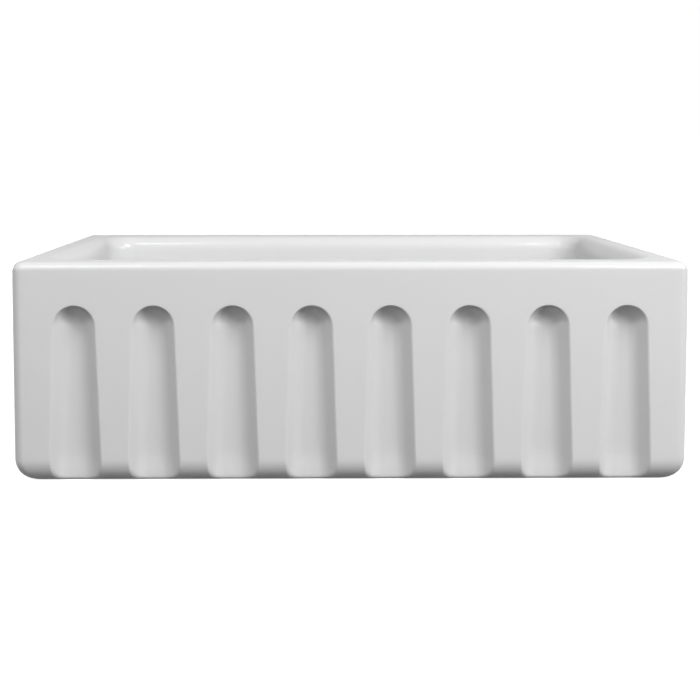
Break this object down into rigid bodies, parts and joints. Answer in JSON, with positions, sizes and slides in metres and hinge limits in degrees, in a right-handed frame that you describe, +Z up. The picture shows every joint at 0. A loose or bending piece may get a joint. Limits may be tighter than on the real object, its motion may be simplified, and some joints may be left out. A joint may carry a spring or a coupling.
{
  "type": "farmhouse apron front sink",
  "caption": "Single-bowl white fireclay kitchen sink with a fluted apron front, fitted with a basket strainer and tailpiece.",
  "frame": {"origin": "on the drain axis, in the plane of the sink's underside, which stands on the cabinet's rails", "axes": "+X to the right of someone at the sink, -Y out of the fluted front, +Z up out of the bowl"},
  "size_m": [0.76, 0.457, 0.4076],
  "materials": {
    "fireclay": "white gloss glaze over fireclay",
    "putty": "set plumber's putty",
    "polished_steel": "polished stainless steel",
    "pressed_steel": "pressed and perforated stainless steel",
    "black_rubber": "moulded rubber",
    "fibre": "pressed fibre",
    "cast_zinc": "die cast, nickel washed",
    "zinc_screw": "zinc plated steel",
    "white_plastic": "moulded polythene",
    "brass_chrome": "chromed brass",
    "spring_steel": "bright spring wire"
  },
  "bodies": {
    "sink": {"sink_body": "fireclay", "flange_seal": "putty", "strainer_body": "polished_steel", "rubber_gasket": "black_rubber", "friction_washer": "fibre", "locknut": "cast_zinc", "clamp_screws": "zinc_screw", "tailpiece_washer": "white_plastic", "tailpiece": "brass_chrome", "coupling_nut": "brass_chrome"},
    "basket": {"basket_cup": "pressed_steel", "stem_guide": "polished_steel", "detent_ring": "spring_steel"},
    "plug": {"stem": "polished_steel", "knob": "brass_chrome", "stopper_plate": "pressed_steel", "stopper": "black_rubber", "stem_nut": "polished_steel"}
  },
  "joints": [
    {"name": "basket_lift", "type": "slide", "parent": "sink", "child": "basket", "axis": [0, 0, 1], "range_m": [0, 0.3]},
    {"name": "stopper_pull", "type": "slide", "parent": "basket", "child": "plug", "axis": [0, 0, 1], "range_m": [0, 0.009]}
  ]
}
